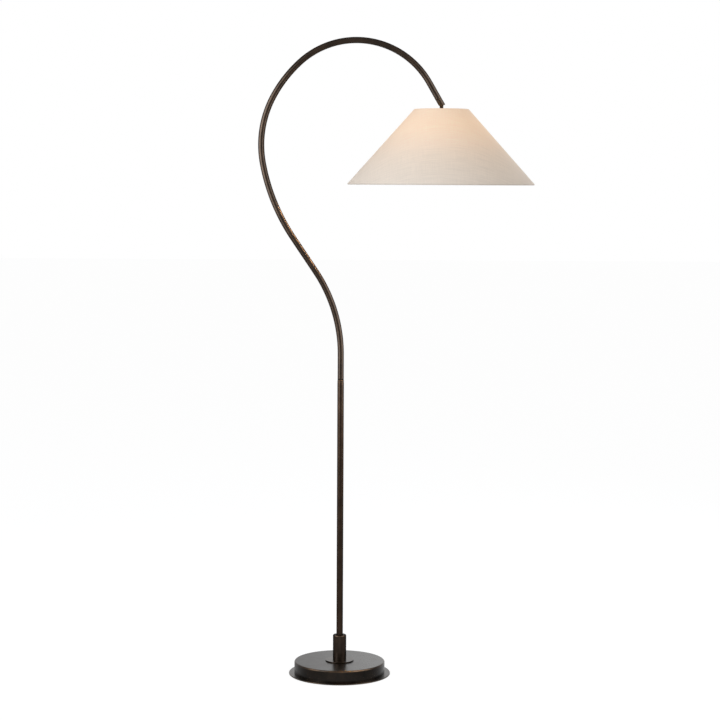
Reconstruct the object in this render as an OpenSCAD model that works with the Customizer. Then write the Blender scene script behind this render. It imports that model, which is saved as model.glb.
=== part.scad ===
// Arched floor lamp.
// A weighted round base carries a slim stem. A ring joins the stem to one long swan-neck arch,
// whose end is a slotted ball swivel. A cone shade hangs there with its lampholder and bulb.
// Millimetres, +Z up, origin on the floor at the centre of the base. The shade hangs towards +X.

/* [Base] */
// Diameter of the thin flange on the floor
flange_d = 280; // [262:1:340]
// Thickness of the flange
flange_t = 3; // [2.5:0.5:5]
// Thickness of the felt pad under the flange
felt_t = 1.5; // [1:0.5:4]
// Distance from the felt's rim to the flange's rim
felt_inset = 6; // [3:0.5:12]
// Diameter of the drum that stands on the flange
drum_d = 250; // [238:1:264]
// Height of the drum
drum_h = 32.5; // [32:0.5:60]
// Wall of the pressed drum
drum_wall = 1.5; // [1:0.1:2.5]
// Rounding of the drum's top edge
drum_edge = 3.5; // [3:0.5:8]
// Diameter of the low disc under the collar
disc_d = 78; // [60:1:110]
// Thickness of the low disc
disc_t = 3; // [2:0.5:6]
// Gap between the drum's wall and the cast weight, which the inlet's bushing needs
weight_gap = 12.5; // [10:0.5:20]
// Height of the cast weight's rim
weight_h = 22; // [18:0.5:26]
// Thickness of the cast weight over its pocket, where the nut clamps it
clamp_t = 8; // [6:0.5:9]
// Radius at which the three flange screws sit
screw_pitch_r = 78; // [60:1:95]
// Thread diameter of the flange screws
screw_d = 5; // [4:0.5:6]

/* [Stem] */
// Diameter of the collar at the foot of the stem
collar_d = 37; // [30:0.5:50]
// Height of the collar
collar_h = 70; // [45:1:110]
// Rounding of the collar's top edge
collar_edge = 2.5; // [1:0.5:4]
// Thickness of the collar's floor, on which the stem stands
collar_floor = 8; // [5:0.5:12]
// Outer diameter of the stem
stem_d = 18; // [17:0.5:22]
// Length of the stem tube
stem_len = 763.5; // [500:0.5:1000]
// Wall of the stem and of the arch
tube_wall = 1.5; // [1:0.1:1.8]
// Height of the ring between the stem and the arch
ring_h = 6.5; // [4:0.5:15]
// Depth of the fine groove at each side of the ring
ring_groove = 0.6; // [0.3:0.1:1]

/* [Arch] */
// Outer diameter of the arch tube
arch_d = 17; // [16.6:0.1:18]
// Straight foot of the arch, above the ring
arch_foot = 70.5; // [40:0.5:120]
// Radius of the first bend, which leans the arch away from the shade
lean_r = 406; // [250:1:600]
// Angle of the first bend
lean_a = 34; // [28:0.5:38]
// Straight flank after the first bend
arch_flank = 110.5; // [60:0.5:160]
// Radius of the slow bend back up the flank
flank_r = 534; // [400:1:700]
// Angle of the slow bend
flank_a = 23.5; // [20:0.5:27]
// Radius of the shoulder of the arch
shoulder_r = 275; // [200:1:350]
// Angle of the shoulder
shoulder_a = 39; // [34:0.5:43]
// Radius across the top of the arch
crown_r = 352; // [250:1:450]
// Angle across the top of the arch
crown_a = 19; // [15:0.5:23]
// Radius of the hook that comes down to the shade
hook_r = 227; // [190:1:260]
// Angle of the hook
hook_a = 102.5; // [97:0.5:107]
// Straight end of the arch, down to the swivel's open end
arch_tip = 72; // [60:0.5:100]

/* [Swivel] */
// Diameter of the swivel's ball
ball_d = 13; // [12.6:0.1:13.4]
// Distance from the ball's centre to the swivel's open end
cup_beyond = 5.3; // [4.8:0.1:6]
// Length of the swivel's cup
cup_len = 20; // [19:0.5:26]
// Length of the plug's spigot inside the arch
spigot_len = 16; // [10:0.5:25]
// Height of the friction seat behind the ball
seat_h = 4.5; // [3.5:0.1:5]
// Thickness of each spring disc
spring_t = 0.6; // [0.4:0.1:0.8]
// Cone height of each spring disc
spring_rise = 0.5; // [0.3:0.1:0.7]
// Tilt of the shade each way from hanging straight down, in degrees
tilt_a = 30; // [20:1:35]

/* [Shade] */
// Drop from the ball's centre to the shade's top rim
neck_drop = 13; // [12:0.5:40]
// Diameter of the shade's top rim
shade_top_d = 150; // [120:1:200]
// Diameter of the shade's bottom rim
shade_bottom_d = 508; // [350:1:560]
// Height of the shade
shade_h = 204.5; // [160:0.5:220]
// Thickness of the shade's fabric
fabric_t = 0.6; // [0.4:0.1:1]
// Thickness of the stiff liner behind the fabric
liner_t = 0.8; // [0.5:0.1:1]
// Wire of the two rings and the three arms
wire_d = 3; // [2.5:0.1:4]
// Width of the fabric that is folded in at each rim
hem_w = 10; // [6:0.5:16]
// Depth of the fitter's hub below the top rim
fitter_recess = 10; // [8:0.5:25]
// Number of arms of the fitter
arm_count = 3; // [3:1:4]
// Diameter of the fitter's hub
hub_d = 27; // [24:0.5:34]
// Thickness of the fitter's hub
hub_t = 2.5; // [2:0.1:4]

/* [Lampholder and bulb] */
// Outer diameter of the lampholder's cap
cap_d = 34; // [33:0.5:38]
// Height of the lampholder's cap
cap_h = 24; // [22:0.5:30]
// Sheet of the cap and of the shell
sheet_t = 0.6; // [0.4:0.1:0.8]
// Length of the lampholder's shell
shell_len = 40; // [38:0.5:46]
// How far the shell goes up inside the cap
shell_lap = 4; // [3:0.5:5]
// Thickness of the card liner in the shell
card_t = 0.7; // [0.5:0.1:1]
// Height of the switch block
block_h = 16; // [14:0.5:17]
// Diameter of the bulb's screw cap
bulb_cap_d = 26; // [25.6:0.1:26.4]
// Length of the bulb's screw cap
bulb_cap_len = 20; // [18:0.5:23]
// Diameter of the bulb's globe
globe_d = 60; // [50:0.5:70]
// Radius of the sweep from the globe to its neck
globe_sweep = 45; // [35:1:60]
// Glass of the bulb
glass_t = 0.8; // [0.5:0.1:1.2]
// Diameter of the switch's shaft
key_d = 4; // [3:0.1:5]
// Diameter of the switch's knob
knob_d = 15; // [12:0.5:16]
// Length of the switch's knob
knob_len = 12; // [9:0.5:18]

/* [Threaded pipe and wiring] */
// Outer diameter of the threaded lamp pipe
pipe_d = 10.3; // [9.8:0.1:10.6]
// Diameter of the lead inside the lamp
lead_d = 5.6; // [5:0.1:6]
// Gap around the lead in pipes and plugs
lead_slack = 0.5; // [0.3:0.1:0.7]
// Height of the lead's inlet above the flange
inlet_rise = 7.5; // [6.5:0.1:8]
// Width across the flats of the hex nuts
nut_af = 16; // [14:0.5:18]
// Height of the hex nuts
nut_h = 5; // [4:0.5:5.5]
// Diameter of the washer under the base's nut
washer_d = 28; // [24:0.5:36]
// Thickness of that washer
washer_t = 1.5; // [1:0.1:2]
// Length of the threaded inserts in the tubes
insert_len = 22; // [18:0.5:30]
// How far a pipe screws into an insert
pipe_grip = 16; // [12:0.5:17]

/* [Hidden] */
$fn = 96;

// Clearances: a thread or a press, a sliding or turning fit, and how far a cut runs past a face
thread_fit = 0.05;
slip = 0.1;
past = 1;

// Radii
flange_r = flange_d / 2;
drum_r = drum_d / 2;
disc_r = disc_d / 2;
weight_r = drum_r - drum_wall - weight_gap;
collar_r = collar_d / 2;
stem_r = stem_d / 2;
stem_bore = stem_r - tube_wall;
arch_r = arch_d / 2;
arch_bore = arch_r - tube_wall;
pipe_r = pipe_d / 2;
pipe_thread = pipe_r + thread_fit;
pipe_hole = pipe_r + slip;
lead_r = lead_d / 2;
lead_hole = lead_r + lead_slack;
nut_r = nut_af / 2 / cos(30);

// Heights of the base, from the floor up
z_flange = felt_t;
z_drum = z_flange + flange_t;
z_disc = z_drum + drum_h;
z_collar = z_disc + disc_t;
z_stem = z_collar + collar_floor;
z_weight_top = z_disc - drum_wall;
z_pocket = z_weight_top - clamp_t;
z_washer = z_pocket - washer_t;
z_nut = z_washer - nut_h;
z_pipe = z_nut - past;
z_inlet = z_drum + inlet_rise;

// The cast weight's pocket for the nut, its raised boss and the channel for the lead
wrench_room = 8;
boss_wall = 18;
cast_chamfer = 2;
channel_room = 2;
pocket_r = washer_d / 2 + wrench_room;
boss_r = pocket_r + boss_wall;
channel_w = lead_d + 2 * channel_room;
channel_top = z_inlet + lead_r + channel_room;

// Flange screws, with countersunk heads
screw_head_r = screw_d;
screw_len = 12;

// The inlet's bushing
bushing_wall = 2.4;
bushing_rim_w = 1.2;
bushing_rim_t = 2;
bushing_lip_w = 0.7;
bushing_lip_t = 1.6;
bushing_neck_r = lead_hole + bushing_wall;
bushing_rim_r = bushing_neck_r + bushing_rim_w;
bushing_lip_r = bushing_neck_r + bushing_lip_w;
bushing_lip_y = sqrt(pow(drum_r - drum_wall, 2) - pow(bushing_lip_r, 2)) - slip;
bushing_end_y = drum_r + bushing_rim_t;
bend_r = z_pipe - z_inlet;

// Heights of the stem
z_ring = z_stem + stem_len;
z_arch = z_ring + ring_h;

// The arch as a chain of [radius, angle] bends, a positive angle to the left, with a radius of 0
// for a straight of that length. A place on it is [x, z, heading], the heading from +X towards +Z.
tube_end = arch_tip - cup_len;
arch_steps = [[0, arch_foot], [lean_r, lean_a], [0, arch_flank], [flank_r, -flank_a],
  [shoulder_r, -shoulder_a], [crown_r, -crown_a], [hook_r, -hook_a], [0, tube_end]];
function centre(p, s) = let(side = sign(s[1]) * s[0]) [p[0] - side * sin(p[2]), p[1] + side * cos(p[2])];
function after(p, s) = s[0] == 0
  ? [p[0] + s[1] * cos(p[2]), p[1] + s[1] * sin(p[2]), p[2]]
  : let(c = centre(p, s), side = sign(s[1]) * s[0], h = p[2] + s[1])
    [c[0] + side * sin(h), c[1] - side * cos(h), h];
function places(p, steps, i = 0) = i == len(steps) ? [p]
  : concat([p], places(after(p, steps[i]), steps, i + 1));
arch_foot_place = [0, z_arch, 90];
arch_last = places(arch_foot_place, arch_steps)[len(arch_steps)];

// Each second stretch of the arch laps its neighbours, and the others are slimmer by a hair, so
// that the stretches join without a face in common
lap = 0.5;
hair = 0.06;

// The swivel's ball centre, and its parts along the tube's own axis from there (down is positive)
pivot = after(arch_last, [0, cup_len - cup_beyond]);
heading = arch_last[2];
ball_r = ball_d / 2;
cup_bore = ball_r + thread_fit;
cup_top = cup_beyond - cup_len;
barrel_bore = cup_bore + slip;
mouth_gap = 0.45;
mouth_r = pipe_r + mouth_gap;
slot_half = mouth_r - thread_fit;
slot_a = heading + 90 + tilt_a;
seat_depth = 0.4;
lead_short = 2;
seat_low = -seat_depth * ball_r;
seat_top = seat_low - seat_h;
spring_top = seat_top - 2 * (spring_t + spring_rise);
lead_end = spring_top - lead_short;
lead_start = [0, z_inlet + bend_r, 90];
lead_steps = concat([[0, z_arch + arch_foot - z_inlet - bend_r]],
  [for (i = [1 : len(arch_steps) - 2]) arch_steps[i]],
  [[0, tube_end + lead_end - cup_top]]);

// Heights of the hanging head, from the ball down to the bulb
neck_in_ball = 2;
block_sink = 3;
contact_h = 2;
insulator_h = 4;
z_pivot = pivot[1];
z_neck_top = z_pivot + neck_in_ball;
z_shade = z_pivot - neck_drop;
z_hub = z_shade - fitter_recess;
z_cap = z_hub - hub_t;
z_cap_low = z_cap - cap_h;
z_shell = z_cap_low + shell_lap;
z_shell_low = z_shell - shell_len;
z_block = z_cap_low + block_sink;
z_block_low = z_block - block_h;
z_key = z_block - block_h / 2;
z_contact = z_block_low - contact_h;
z_bulb_cap = z_contact - insulator_h;
z_bulb_neck = z_bulb_cap - bulb_cap_len;
cap_hub_h = cap_h / 3;
z_neck_low = z_cap - cap_hub_h - past;

// The shade's cone in its (radius, height) section: ring centres, down the slope and outwards
wire_r = wire_d / 2;
fold_r = wire_r + fabric_t + thread_fit;
top_ring = [shade_top_d / 2 - fold_r, z_shade - fold_r];
bottom_ring = [shade_bottom_d / 2 - fold_r, z_shade - shade_h + fold_r];
slope_a = atan2(bottom_ring[1] - top_ring[1], bottom_ring[0] - top_ring[0]);
down_slope = [cos(slope_a), sin(slope_a)];
outward = [-down_slope[1], down_slope[0]];
hem_end = wire_r + hem_w;
hub_overlap = 2;
arm_end = hub_d / 2 - hub_overlap;
arm_gap = 0.3;
arm_turns = [for (i = [0 : arm_count - 1]) 90 + i * 360 / arm_count];

// The lampholder's nested tubes
cap_r = cap_d / 2;
shell_r = cap_r - sheet_t - slip;
card_r = shell_r - sheet_t - slip;
block_r = card_r - card_t - slip;
cap_hub_wall = 2.4;
cap_skirt = 8;
cap_hub_r = pipe_r + cap_hub_wall;
bulb_cap_r = bulb_cap_d / 2;
bulb_cap_sheet = 0.5;
screw_play = 0.2;
screw_shell_r = bulb_cap_r + screw_play + sheet_t;
contact_r = bulb_cap_r / 2;
key_r = key_d / 2;
key_gap = 0.5;
knob_gap = 2.5;
knob_x = cap_r + knob_gap;
globe_r = globe_d / 2;
glass_neck_r = bulb_cap_r - bulb_cap_sheet - slip;
glass_neck_h = 4;
sweep_rise = sqrt(pow(globe_r + globe_sweep, 2) - pow(glass_neck_r + globe_sweep, 2));
z_globe = z_bulb_neck - glass_neck_h - sweep_rise;
sweep_a = atan2(sweep_rise, glass_neck_r + globe_sweep);

// Colours
bronze = [0.17, 0.14, 0.12];
steel = [0.62, 0.62, 0.6];
brass = [0.72, 0.58, 0.33];
iron = [0.28, 0.28, 0.29];
linen = [0.9, 0.84, 0.76];
black = [0.08, 0.08, 0.08];

// Section of a disc or tube between two radii, with its top outer edge rounded
module rounded_section(inner, outer, h, edge) {
  difference() {
    union() {
      square([outer - edge, h]);
      square([outer, h - edge]);
      translate([outer - edge, h - edge]) circle(edge);
    }
    translate([-past, -past]) square([inner + past, h + 2 * past]);
  }
}

// A plain tube standing on z
module tube(z, h, outer, inner) {
  translate([0, 0, z]) difference() {
    cylinder(h = h, r = outer);
    translate([0, 0, -past]) cylinder(h = h + 2 * past, r = inner);
  }
}

// A hex nut standing on z, threaded for the pipe
module pipe_nut(z) {
  translate([0, 0, z]) difference() {
    cylinder(h = nut_h, r = nut_r, $fn = 6);
    translate([0, 0, -past]) cylinder(h = nut_h + 2 * past, r = pipe_thread);
  }
}

// The three flange screws' places, clear of the lead's channel
module at_screws() {
  for (turn = [30, 150, 270]) rotate([0, 0, turn]) translate([screw_pitch_r, 0, 0]) children();
}

// Stands a place's own axes in the lamp: z along the heading, x to the side of the stem
module at_place(p) {
  translate([p[0], 0, p[1]]) rotate([0, 90 - p[2], 0]) children();
}

// A round bar along a chain of bends and straights, from a starting place
module sweep(start, steps, radius) {
  stops = places(start, steps);
  for (i = [0 : len(steps) - 1]) {
    p = stops[i];
    s = steps[i];
    full = i % 2 == 1;
    r = full ? radius : radius - hair;
    before = full ? lap : 0;
    beyond = full && i + 1 < len(steps) ? lap : 0;
    if (s[0] == 0) at_place(p) translate([0, 0, -before])
      cylinder(h = s[1] + before + beyond, r = r, $fn = 48);
    else bend(centre(p, s), s, p[2], r, before, beyond);
  }
}
// One bend, lengthened at each end by the given lengths of arc
module bend(c, s, heading, r, before, beyond) {
  per_mm = 180 / PI / s[0];
  from = s[1] > 0 ? heading - 90 - before * per_mm : heading + 90 + s[1] - beyond * per_mm;
  translate([c[0], 0, c[1]]) rotate([90, 0, 0]) rotate([0, 0, from])
    rotate_extrude(angle = abs(s[1]) + (before + beyond) * per_mm, $fn = 240)
      translate([s[0], 0]) circle(r, $fn = 32);
}

// The base
module base_felt() {
  color(black) cylinder(h = felt_t, r = flange_r - felt_inset);
}
module base_flange() {
  color(bronze) difference() {
    translate([0, 0, z_flange]) rotate_extrude()
      rounded_section(pocket_r, flange_r, flange_t, flange_t / 2);
    at_screws() screw_form(slip);
  }
}
module screw_form(gap) {
  translate([0, 0, z_flange]) {
    cylinder(h = screw_head_r - screw_d / 2, r1 = screw_head_r + gap, r2 = screw_d / 2 + gap);
    cylinder(h = screw_len, r = screw_d / 2 + gap);
  }
}
module base_screws() {
  color(steel) at_screws() screw_form(0);
}
module base_weight() {
  color(iron) difference() {
    rotate_extrude() polygon([[pocket_r, z_drum], [weight_r, z_drum],
      [weight_r, z_drum + weight_h - cast_chamfer], [weight_r - cast_chamfer, z_drum + weight_h],
      [boss_r + cast_chamfer, z_drum + weight_h], [boss_r, z_drum + weight_h + cast_chamfer],
      [boss_r, z_weight_top], [pipe_hole, z_weight_top], [pipe_hole, z_pocket], [pocket_r, z_pocket]]);
    at_screws() translate([0, 0, z_drum - past])
      cylinder(h = screw_len + past, r = screw_d / 2 + thread_fit);
    translate([-channel_w / 2, 0, z_drum - past])
      cube([channel_w, weight_r + past, channel_top - z_drum + past]);
  }
}
module base_drum() {
  inner_edge = drum_edge - drum_wall;
  color(bronze) difference() {
    translate([0, 0, z_drum]) rotate_extrude($fn = 180) difference() {
      rounded_section(pipe_hole, drum_r, drum_h, drum_edge);
      translate([0, -past])
        rounded_section(0, drum_r - drum_wall, drum_h - drum_wall + past, inner_edge);
    }
    translate([0, drum_r + past, z_inlet]) rotate([90, 0, 0])
      cylinder(h = drum_wall + 3 * past, r = bushing_neck_r + slip);
  }
}
module base_disc() {
  color(bronze) translate([0, 0, z_disc]) rotate_extrude()
    rounded_section(pipe_hole, disc_r, disc_t, disc_t / 3);
}
module cord_bushing() {
  inner_end = bushing_lip_y - bushing_lip_t;
  color(black) translate([0, 0, z_inlet]) rotate([-90, 0, 0]) difference() {
    union() {
      translate([0, 0, inner_end]) cylinder(h = bushing_end_y - inner_end, r = bushing_neck_r);
      translate([0, 0, drum_r]) cylinder(h = bushing_rim_t, r = bushing_rim_r);
      translate([0, 0, inner_end]) cylinder(h = bushing_lip_t, r = bushing_lip_r);
    }
    translate([0, 0, inner_end - past])
      cylinder(h = bushing_end_y - inner_end + 2 * past, r = lead_hole - lead_slack / 2);
  }
}
module base_pipe() {
  color(steel) tube(z_pipe, z_stem + pipe_grip - z_pipe, pipe_r, lead_hole);
}
module base_washer() {
  color(steel) tube(z_washer, washer_t, washer_d / 2, pipe_hole);
}
module base_nut() {
  color(steel) pipe_nut(z_nut);
}

// The stem
module stem_collar() {
  color(bronze) translate([0, 0, z_collar]) difference() {
    rotate_extrude() rounded_section(pipe_hole, collar_r, collar_h, collar_edge);
    translate([0, 0, collar_floor]) cylinder(h = collar_h, r = stem_r + slip);
  }
}
module stem_foot_insert() {
  color(steel) tube(z_stem, insert_len, stem_bore - thread_fit, pipe_thread);
}
module stem_tube() {
  color(bronze) tube(z_stem, stem_len, stem_r, stem_bore);
}
module stem_top_insert() {
  color(steel) tube(z_ring - insert_len, insert_len, stem_bore - thread_fit, pipe_thread);
}
module joint_pipe() {
  color(steel) tube(z_ring - pipe_grip, ring_h + 2 * pipe_grip, pipe_r, lead_hole);
}
module joint_ring() {
  color(bronze) translate([0, 0, z_ring]) rotate_extrude() polygon([[pipe_hole, 0],
    [stem_r - ring_groove, 0], [stem_r, ring_groove], [stem_r, ring_h - ring_groove],
    [stem_r - ring_groove, ring_h], [pipe_hole, ring_h]]);
}

// The arch and the lead inside the lamp
module arch_insert() {
  color(steel) tube(z_arch, insert_len, arch_bore - hair - thread_fit, pipe_thread);
}
module arch_tube() {
  color(bronze) difference() {
    sweep(arch_foot_place, arch_steps, arch_r);
    sweep(arch_foot_place, arch_steps, arch_bore);
  }
}
module main_lead() {
  color(black) {
    sweep(lead_start, lead_steps, lead_r);
    rotate([0, 0, 90]) bend([bend_r, z_inlet + bend_r], [bend_r, -90], 180, lead_r, lap / 2, lap / 2);
    translate([0, bend_r, z_inlet]) rotate([-90, 0, 0])
      cylinder(h = bushing_end_y - bend_r, r = lead_r - hair, $fn = 48);
  }
}

// The swivel, drawn along the tube's end with the ball's centre at 0 and the slot towards +x
module swivel_cup() {
  color(bronze) at_place(pivot) difference() {
    translate([0, 0, cup_top + hair]) cylinder(h = cup_len - hair, r = arch_r);
    translate([0, 0, cup_top - past]) cylinder(h = past - cup_top, r = barrel_bore);
    sphere(r = cup_bore);
    cylinder(h = cup_beyond + past, r = mouth_r);
    rotate([0, slot_a, 0]) cylinder(h = arch_d, r = mouth_r);
    rotate([90, 0, 0]) translate([0, 0, -slot_half]) linear_extrude(2 * slot_half)
      polygon([[0, 0], [0, arch_d], [arch_d, arch_d], arch_d * 2 * [sin(slot_a), cos(slot_a)]]);
  }
}
module swivel_plug() {
  color(brass) at_place(pivot) difference() {
    union() {
      translate([0, 0, cup_top]) cylinder(h = spring_top - cup_top, r = barrel_bore - thread_fit);
      translate([0, 0, cup_top - spigot_len]) cylinder(h = spigot_len, r = arch_bore - thread_fit);
    }
    translate([0, 0, cup_top - spigot_len - past])
      cylinder(h = spigot_len + spring_top - cup_top + 2 * past, r = lead_hole);
  }
}
module swivel_springs() {
  spring_r = ball_r - slip;
  spring_hole = lead_hole + 0.4;
  color(steel) at_place(pivot) for (flip = [0, 1])
    translate([0, 0, seat_top - spring_t - spring_rise]) mirror([0, 0, flip])
      rotate_extrude() polygon([[spring_r, 0], [spring_r, spring_t],
        [spring_hole, spring_t + spring_rise], [spring_hole, spring_rise]]);
}
module swivel_seat() {
  color(brass) at_place(pivot) difference() {
    translate([0, 0, seat_top]) cylinder(h = seat_h, r = ball_r - slip);
    translate([0, 0, seat_top - past]) cylinder(h = seat_h + 2 * past, r = lead_hole);
    sphere(r = cup_bore);
  }
}
module swivel_ball() {
  color(brass) translate([pivot[0], 0, z_pivot]) difference() {
    sphere(r = ball_r);
    translate([0, 0, -ball_d]) cylinder(h = ball_d + z_neck_top - z_pivot, r = pipe_thread);
    cylinder(h = ball_d, r = lead_hole);
  }
}

// The hanging head, about the vertical axis through the ball
module on_head() {
  translate([pivot[0], 0, 0]) children();
}
module neck_pipe() {
  color(bronze) on_head() tube(z_neck_low, z_neck_top - z_neck_low, pipe_r, lead_hole);
}
module neck_nut() {
  color(bronze) on_head() pipe_nut(z_hub);
}
module head_lead() {
  color(black) on_head() translate([0, 0, z_block]) cylinder(h = z_pivot - z_block, r = lead_r, $fn = 48);
}

// The shade: wire rings, a stiff liner, and fabric folded in round both rings
module wire_ring(place) {
  rotate_extrude($fn = 180) translate(place) circle(wire_r, $fn = 32);
}
module fitter_arms(r, inner) {
  hub_mid = z_hub - hub_t / 2;
  run = [top_ring[0], top_ring[1] - hub_mid];
  for (turn = arm_turns) rotate([0, 0, turn]) translate([0, 0, hub_mid])
    rotate([0, atan2(run[0], run[1]), 0]) translate([0, 0, inner])
      cylinder(h = norm(run) - inner, r = r, $fn = 32);
}
module shade_fitter() {
  color(steel) on_head() {
    wire_ring(top_ring);
    fitter_arms(wire_r, arm_end);
    tube(z_hub - hub_t, hub_t, hub_d / 2, pipe_hole);
  }
}
module shade_bottom_ring() {
  color(steel) on_head() wire_ring(bottom_ring);
}
module shade_liner() {
  outer = wire_r - thread_fit;
  ends = wire_r + past;
  color([0.95, 0.94, 0.9]) on_head() rotate_extrude($fn = 180) polygon([
    top_ring + ends * down_slope + outer * outward,
    bottom_ring - ends * down_slope + outer * outward,
    bottom_ring - ends * down_slope + (outer - liner_t) * outward,
    top_ring + ends * down_slope + (outer - liner_t) * outward]);
}
// One face of the fabric, from the top hem over the top ring, down the slope and round the bottom
// ring to the bottom hem. r is the face's radius round the rings, lift its height over the hems.
function fold(at, r, from, to) =
  [for (i = [0 : 8]) let(a = from + (to - from) * i / 8) at + r * [cos(a), sin(a)]];
function fabric_face(r, lift) = let(
  out_a = slope_a + 90,
  hem_out = wire_r - 2 * thread_fit - liner_t - lift)
  concat(
    [top_ring + hem_end * down_slope + hem_out * outward],
    fold(top_ring, r, out_a + 180, out_a),
    fold(bottom_ring, r, out_a, out_a - 180),
    [bottom_ring - hem_end * down_slope + hem_out * outward]);
function reversed(list) = [for (i = [len(list) - 1 : -1 : 0]) list[i]];
module shade_fabric() {
  color(linen) on_head() difference() {
    rotate_extrude($fn = 180) polygon(concat(fabric_face(fold_r, fabric_t),
      reversed(fabric_face(wire_r + thread_fit, 0))));
    fitter_arms(wire_r + arm_gap, arm_end);
  }
}

// The lampholder
module socket_cap() {
  flare_h = cap_h - cap_hub_h - cap_skirt;
  flare_w = cap_r - cap_hub_r;
  flare = function(inset) [for (i = [0 : 8]) let(a = 90 - i * 90 / 8)
    [cap_hub_r + (flare_w - inset) * cos(a), z_cap_low + cap_skirt + (flare_h - inset) * sin(a)]];
  color(brass) on_head() rotate_extrude() polygon(concat(
    [[pipe_thread, z_cap], [cap_hub_r, z_cap]], flare(0), [[cap_r, z_cap_low]],
    [[cap_r - sheet_t, z_cap_low]], reversed(flare(sheet_t)),
    [[pipe_thread, z_cap - cap_hub_h - sheet_t]]));
}
module key_bar(gap, low, high) {
  translate([0, 0, z_key]) rotate([0, 90, 0]) translate([0, 0, low])
    cylinder(h = high - low, r = key_r + gap);
}
module socket_shell() {
  notch = key_r + key_gap;
  color(brass) on_head() difference() {
    tube(z_shell_low, shell_len, shell_r, shell_r - sheet_t);
    key_bar(key_gap, 0, cap_r);
    translate([0, -notch, z_key]) cube([cap_r, 2 * notch, z_shell - z_key + past]);
  }
}
module socket_card() {
  color([0.75, 0.68, 0.55]) on_head() difference() {
    tube(z_shell_low + past, z_block - z_shell_low - past, card_r, card_r - card_t);
    key_bar(key_gap, 0, cap_r);
  }
}
module switch_block() {
  color(black) on_head() difference() {
    translate([0, 0, z_block_low]) cylinder(h = block_h, r = block_r);
    key_bar(thread_fit, -key_d, cap_r);
  }
}
module screw_shell() {
  low = z_shell_low + 2 * past;
  contact_gap = 2;
  color(brass) on_head() difference() {
    translate([0, 0, low]) cylinder(h = z_block_low - low, r = screw_shell_r);
    translate([0, 0, low - past])
      cylinder(h = z_block_low - low + past - sheet_t, r = screw_shell_r - sheet_t);
    translate([0, 0, z_block_low - past]) cylinder(h = 2 * past, r = contact_r + contact_gap);
  }
}
module centre_contact() {
  color(brass) on_head() translate([0, 0, z_contact]) cylinder(h = contact_h, r = contact_r);
}

// The bulb
module bulb_cap() {
  color(steel) on_head() tube(z_bulb_neck, bulb_cap_len, bulb_cap_r, bulb_cap_r - bulb_cap_sheet);
}
module bulb_insulator() {
  color(black) on_head() translate([0, 0, z_bulb_cap])
    cylinder(h = insulator_h, r1 = bulb_cap_r, r2 = bulb_cap_r / 3);
}
// The glass's outline at a depth under its outer skin, from the bottom up to its neck
function glass_line(depth) = concat(
  [for (i = [0 : 16]) let(a = -90 + i * (90 + sweep_a) / 16)
    [(globe_r - depth) * cos(a), z_globe + (globe_r - depth) * sin(a)]],
  [for (i = [1 : 8]) let(a = (1 - i / 8) * sweep_a)
    [glass_neck_r + globe_sweep - (globe_sweep + depth) * cos(a),
     z_globe + sweep_rise - (globe_sweep + depth) * sin(a)]],
  [[glass_neck_r - depth, z_bulb_neck + bulb_cap_len / 2]]);
module bulb_glass() {
  color([0.97, 0.95, 0.9]) on_head() rotate_extrude()
    polygon(concat(glass_line(0), reversed(glass_line(glass_t))));
}
// The press that closes the bulb's neck, its stem, and the light source that stands on it
module bulb_mount() {
  press_r = glass_neck_r - glass_t - slip;
  press_top = z_bulb_neck + bulb_cap_len / 2;
  stem_w = 3;
  source_r = 6;
  source_top = z_globe + globe_r / 3;
  color(linen) on_head() rotate_extrude() polygon([[0, press_top], [press_r, press_top],
    [press_r, z_bulb_neck + 2], [stem_w, z_bulb_neck - 4], [stem_w, source_top],
    [source_r, source_top], [source_r, z_globe], [0, z_globe]]);
}

// The switch's turning key
module switch_shaft() {
  color(brass) on_head() key_bar(0, -key_d + slip, knob_x + knob_len / 2);
}
module switch_knob() {
  flutes = 12;
  flute_r = 1.2;
  flute_out = 0.6;
  color(black) on_head() translate([knob_x, 0, z_key]) rotate([0, 90, 0]) difference() {
    cylinder(h = knob_len, r = knob_d / 2);
    translate([0, 0, -past]) cylinder(h = knob_len / 2 + past, r = key_r + thread_fit);
    for (i = [1 : flutes]) rotate([0, 0, i * 360 / flutes])
      translate([knob_d / 2 + flute_out, 0, -past])
        cylinder(h = knob_len + 2 * past, r = flute_r, $fn = 24);
  }
}

base_felt();
base_flange();
base_screws();
base_weight();
base_drum();
base_disc();
cord_bushing();
base_pipe();
base_washer();
base_nut();
stem_collar();
stem_foot_insert();
stem_tube();
stem_top_insert();
joint_pipe();
joint_ring();
arch_insert();
arch_tube();
main_lead();
swivel_cup();
swivel_plug();
swivel_springs();
swivel_seat();
swivel_ball();
neck_pipe();
neck_nut();
shade_fitter();
shade_liner();
shade_fabric();
shade_bottom_ring();
socket_cap();
socket_shell();
socket_card();
switch_block();
screw_shell();
centre_contact();
head_lead();
bulb_cap();
bulb_insulator();
bulb_glass();
bulb_mount();
switch_shaft();
switch_knob();
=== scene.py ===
# %% [markdown]
# # An arched floor lamp
# The lamp has a weighted round base, a slim stem, one long swan-neck tube and a wide cone shade in
# linen that hangs from a ball swivel. The metal is brass that was darkened with chemicals and then
# waxed, which is sold as oil-rubbed bronze. The lamp is lit.
#
# The CAD model gives every place and size. This script loads it, and then makes each piece that
# shows once more, with finer curves and a real finish, in the same place.

# %% The CAD model
import math

import bmesh
import bpy
from mathutils import Matrix, Vector


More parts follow.
